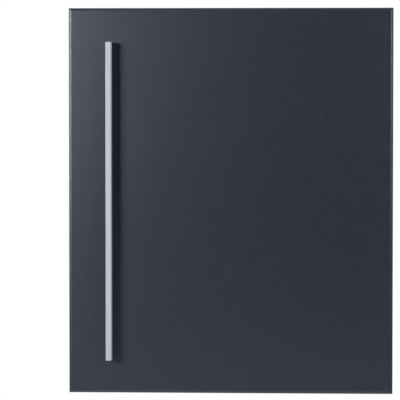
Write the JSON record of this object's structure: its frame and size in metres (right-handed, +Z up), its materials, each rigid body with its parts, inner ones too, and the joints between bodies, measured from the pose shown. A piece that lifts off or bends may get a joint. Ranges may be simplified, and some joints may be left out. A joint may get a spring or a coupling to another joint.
{
  "type": "wall mounted mailbox",
  "caption": "Wall mounted steel mailbox with an overlapping flat door and a long bar handle, a top letter slot under a lid and an open-ended newspaper tube below.",
  "frame": {"origin": "centre of the four wall holes, on the face that lies on the wall", "axes": "+X to the viewer's right, +Z up, +Y into the wall, so the door faces -Y"},
  "size_m": [0.37, 0.131, 0.44],
  "materials": {
    "anthracite_coat": "satin fine-grained powder coat",
    "coated_inside": "satin powder coat",
    "brushed_bar": "brushed lengthwise",
    "zinc_steel": "zinc plated",
    "lock_chrome": "polished nickel plate",
    "magnet_nickel": "nickel plate",
    "black_rubber": "matt"
  },
  "bodies": {
    "housing": {"back_plate": "coated_inside", "left_side_wall": "coated_inside", "right_side_wall": "coated_inside", "top_plate": "coated_inside", "divider_shelf": "coated_inside", "newspaper_tray": "coated_inside", "lid_hinge_leaf": "coated_inside", "lid_hinge_rod": "zinc_steel", "lid_rest_pads": "black_rubber", "hinge_rivets": "zinc_steel", "upper_hinge_body_leaf": "zinc_steel", "lower_hinge_body_leaf": "zinc_steel", "upper_hinge_pin": "zinc_steel", "lower_hinge_pin": "zinc_steel", "magnet_pots": "zinc_steel", "magnet_rings": "magnet_nickel", "magnet_screws": "zinc_steel", "magnet_nuts": "zinc_steel", "door_bumpers": "black_rubber", "lock_housing": "lock_chrome", "lock_nut": "zinc_steel"},
    "door": {"door_panel": "anthracite_coat", "door_stiffener": "coated_inside", "upper_hinge_door_leaf": "zinc_steel", "lower_hinge_door_leaf": "zinc_steel", "handle_bar": "brushed_bar", "handle_spacers": "brushed_bar", "handle_washers": "zinc_steel", "handle_screws": "zinc_steel", "latch_hook": "zinc_steel", "hook_rivets": "zinc_steel"},
    "lid": {"letter_lid": "anthracite_coat"},
    "lock_cylinder": {"lock_plug": "lock_chrome", "lock_cam": "zinc_steel", "cam_washer": "zinc_steel", "cam_bolt": "zinc_steel"}
  },
  "joints": [
    {"name": "door_swing", "type": "hinge", "parent": "housing", "child": "door", "pos_m": [0.18075, -0.095, 0], "axis": [0, 0, 1], "range_deg": [0, 110]},
    {"name": "lid_swing", "type": "hinge", "parent": "housing", "child": "lid", "pos_m": [0, -0.005, 0.21175], "axis": [-1, 0, 0], "range_deg": [0, 80]},
    {"name": "lock_turn", "type": "hinge", "parent": "housing", "child": "lock_cylinder", "pos_m": [-0.16, -0.06, 0.06], "axis": [-1, 0, 0], "range_deg": [0, 90]}
  ]
}
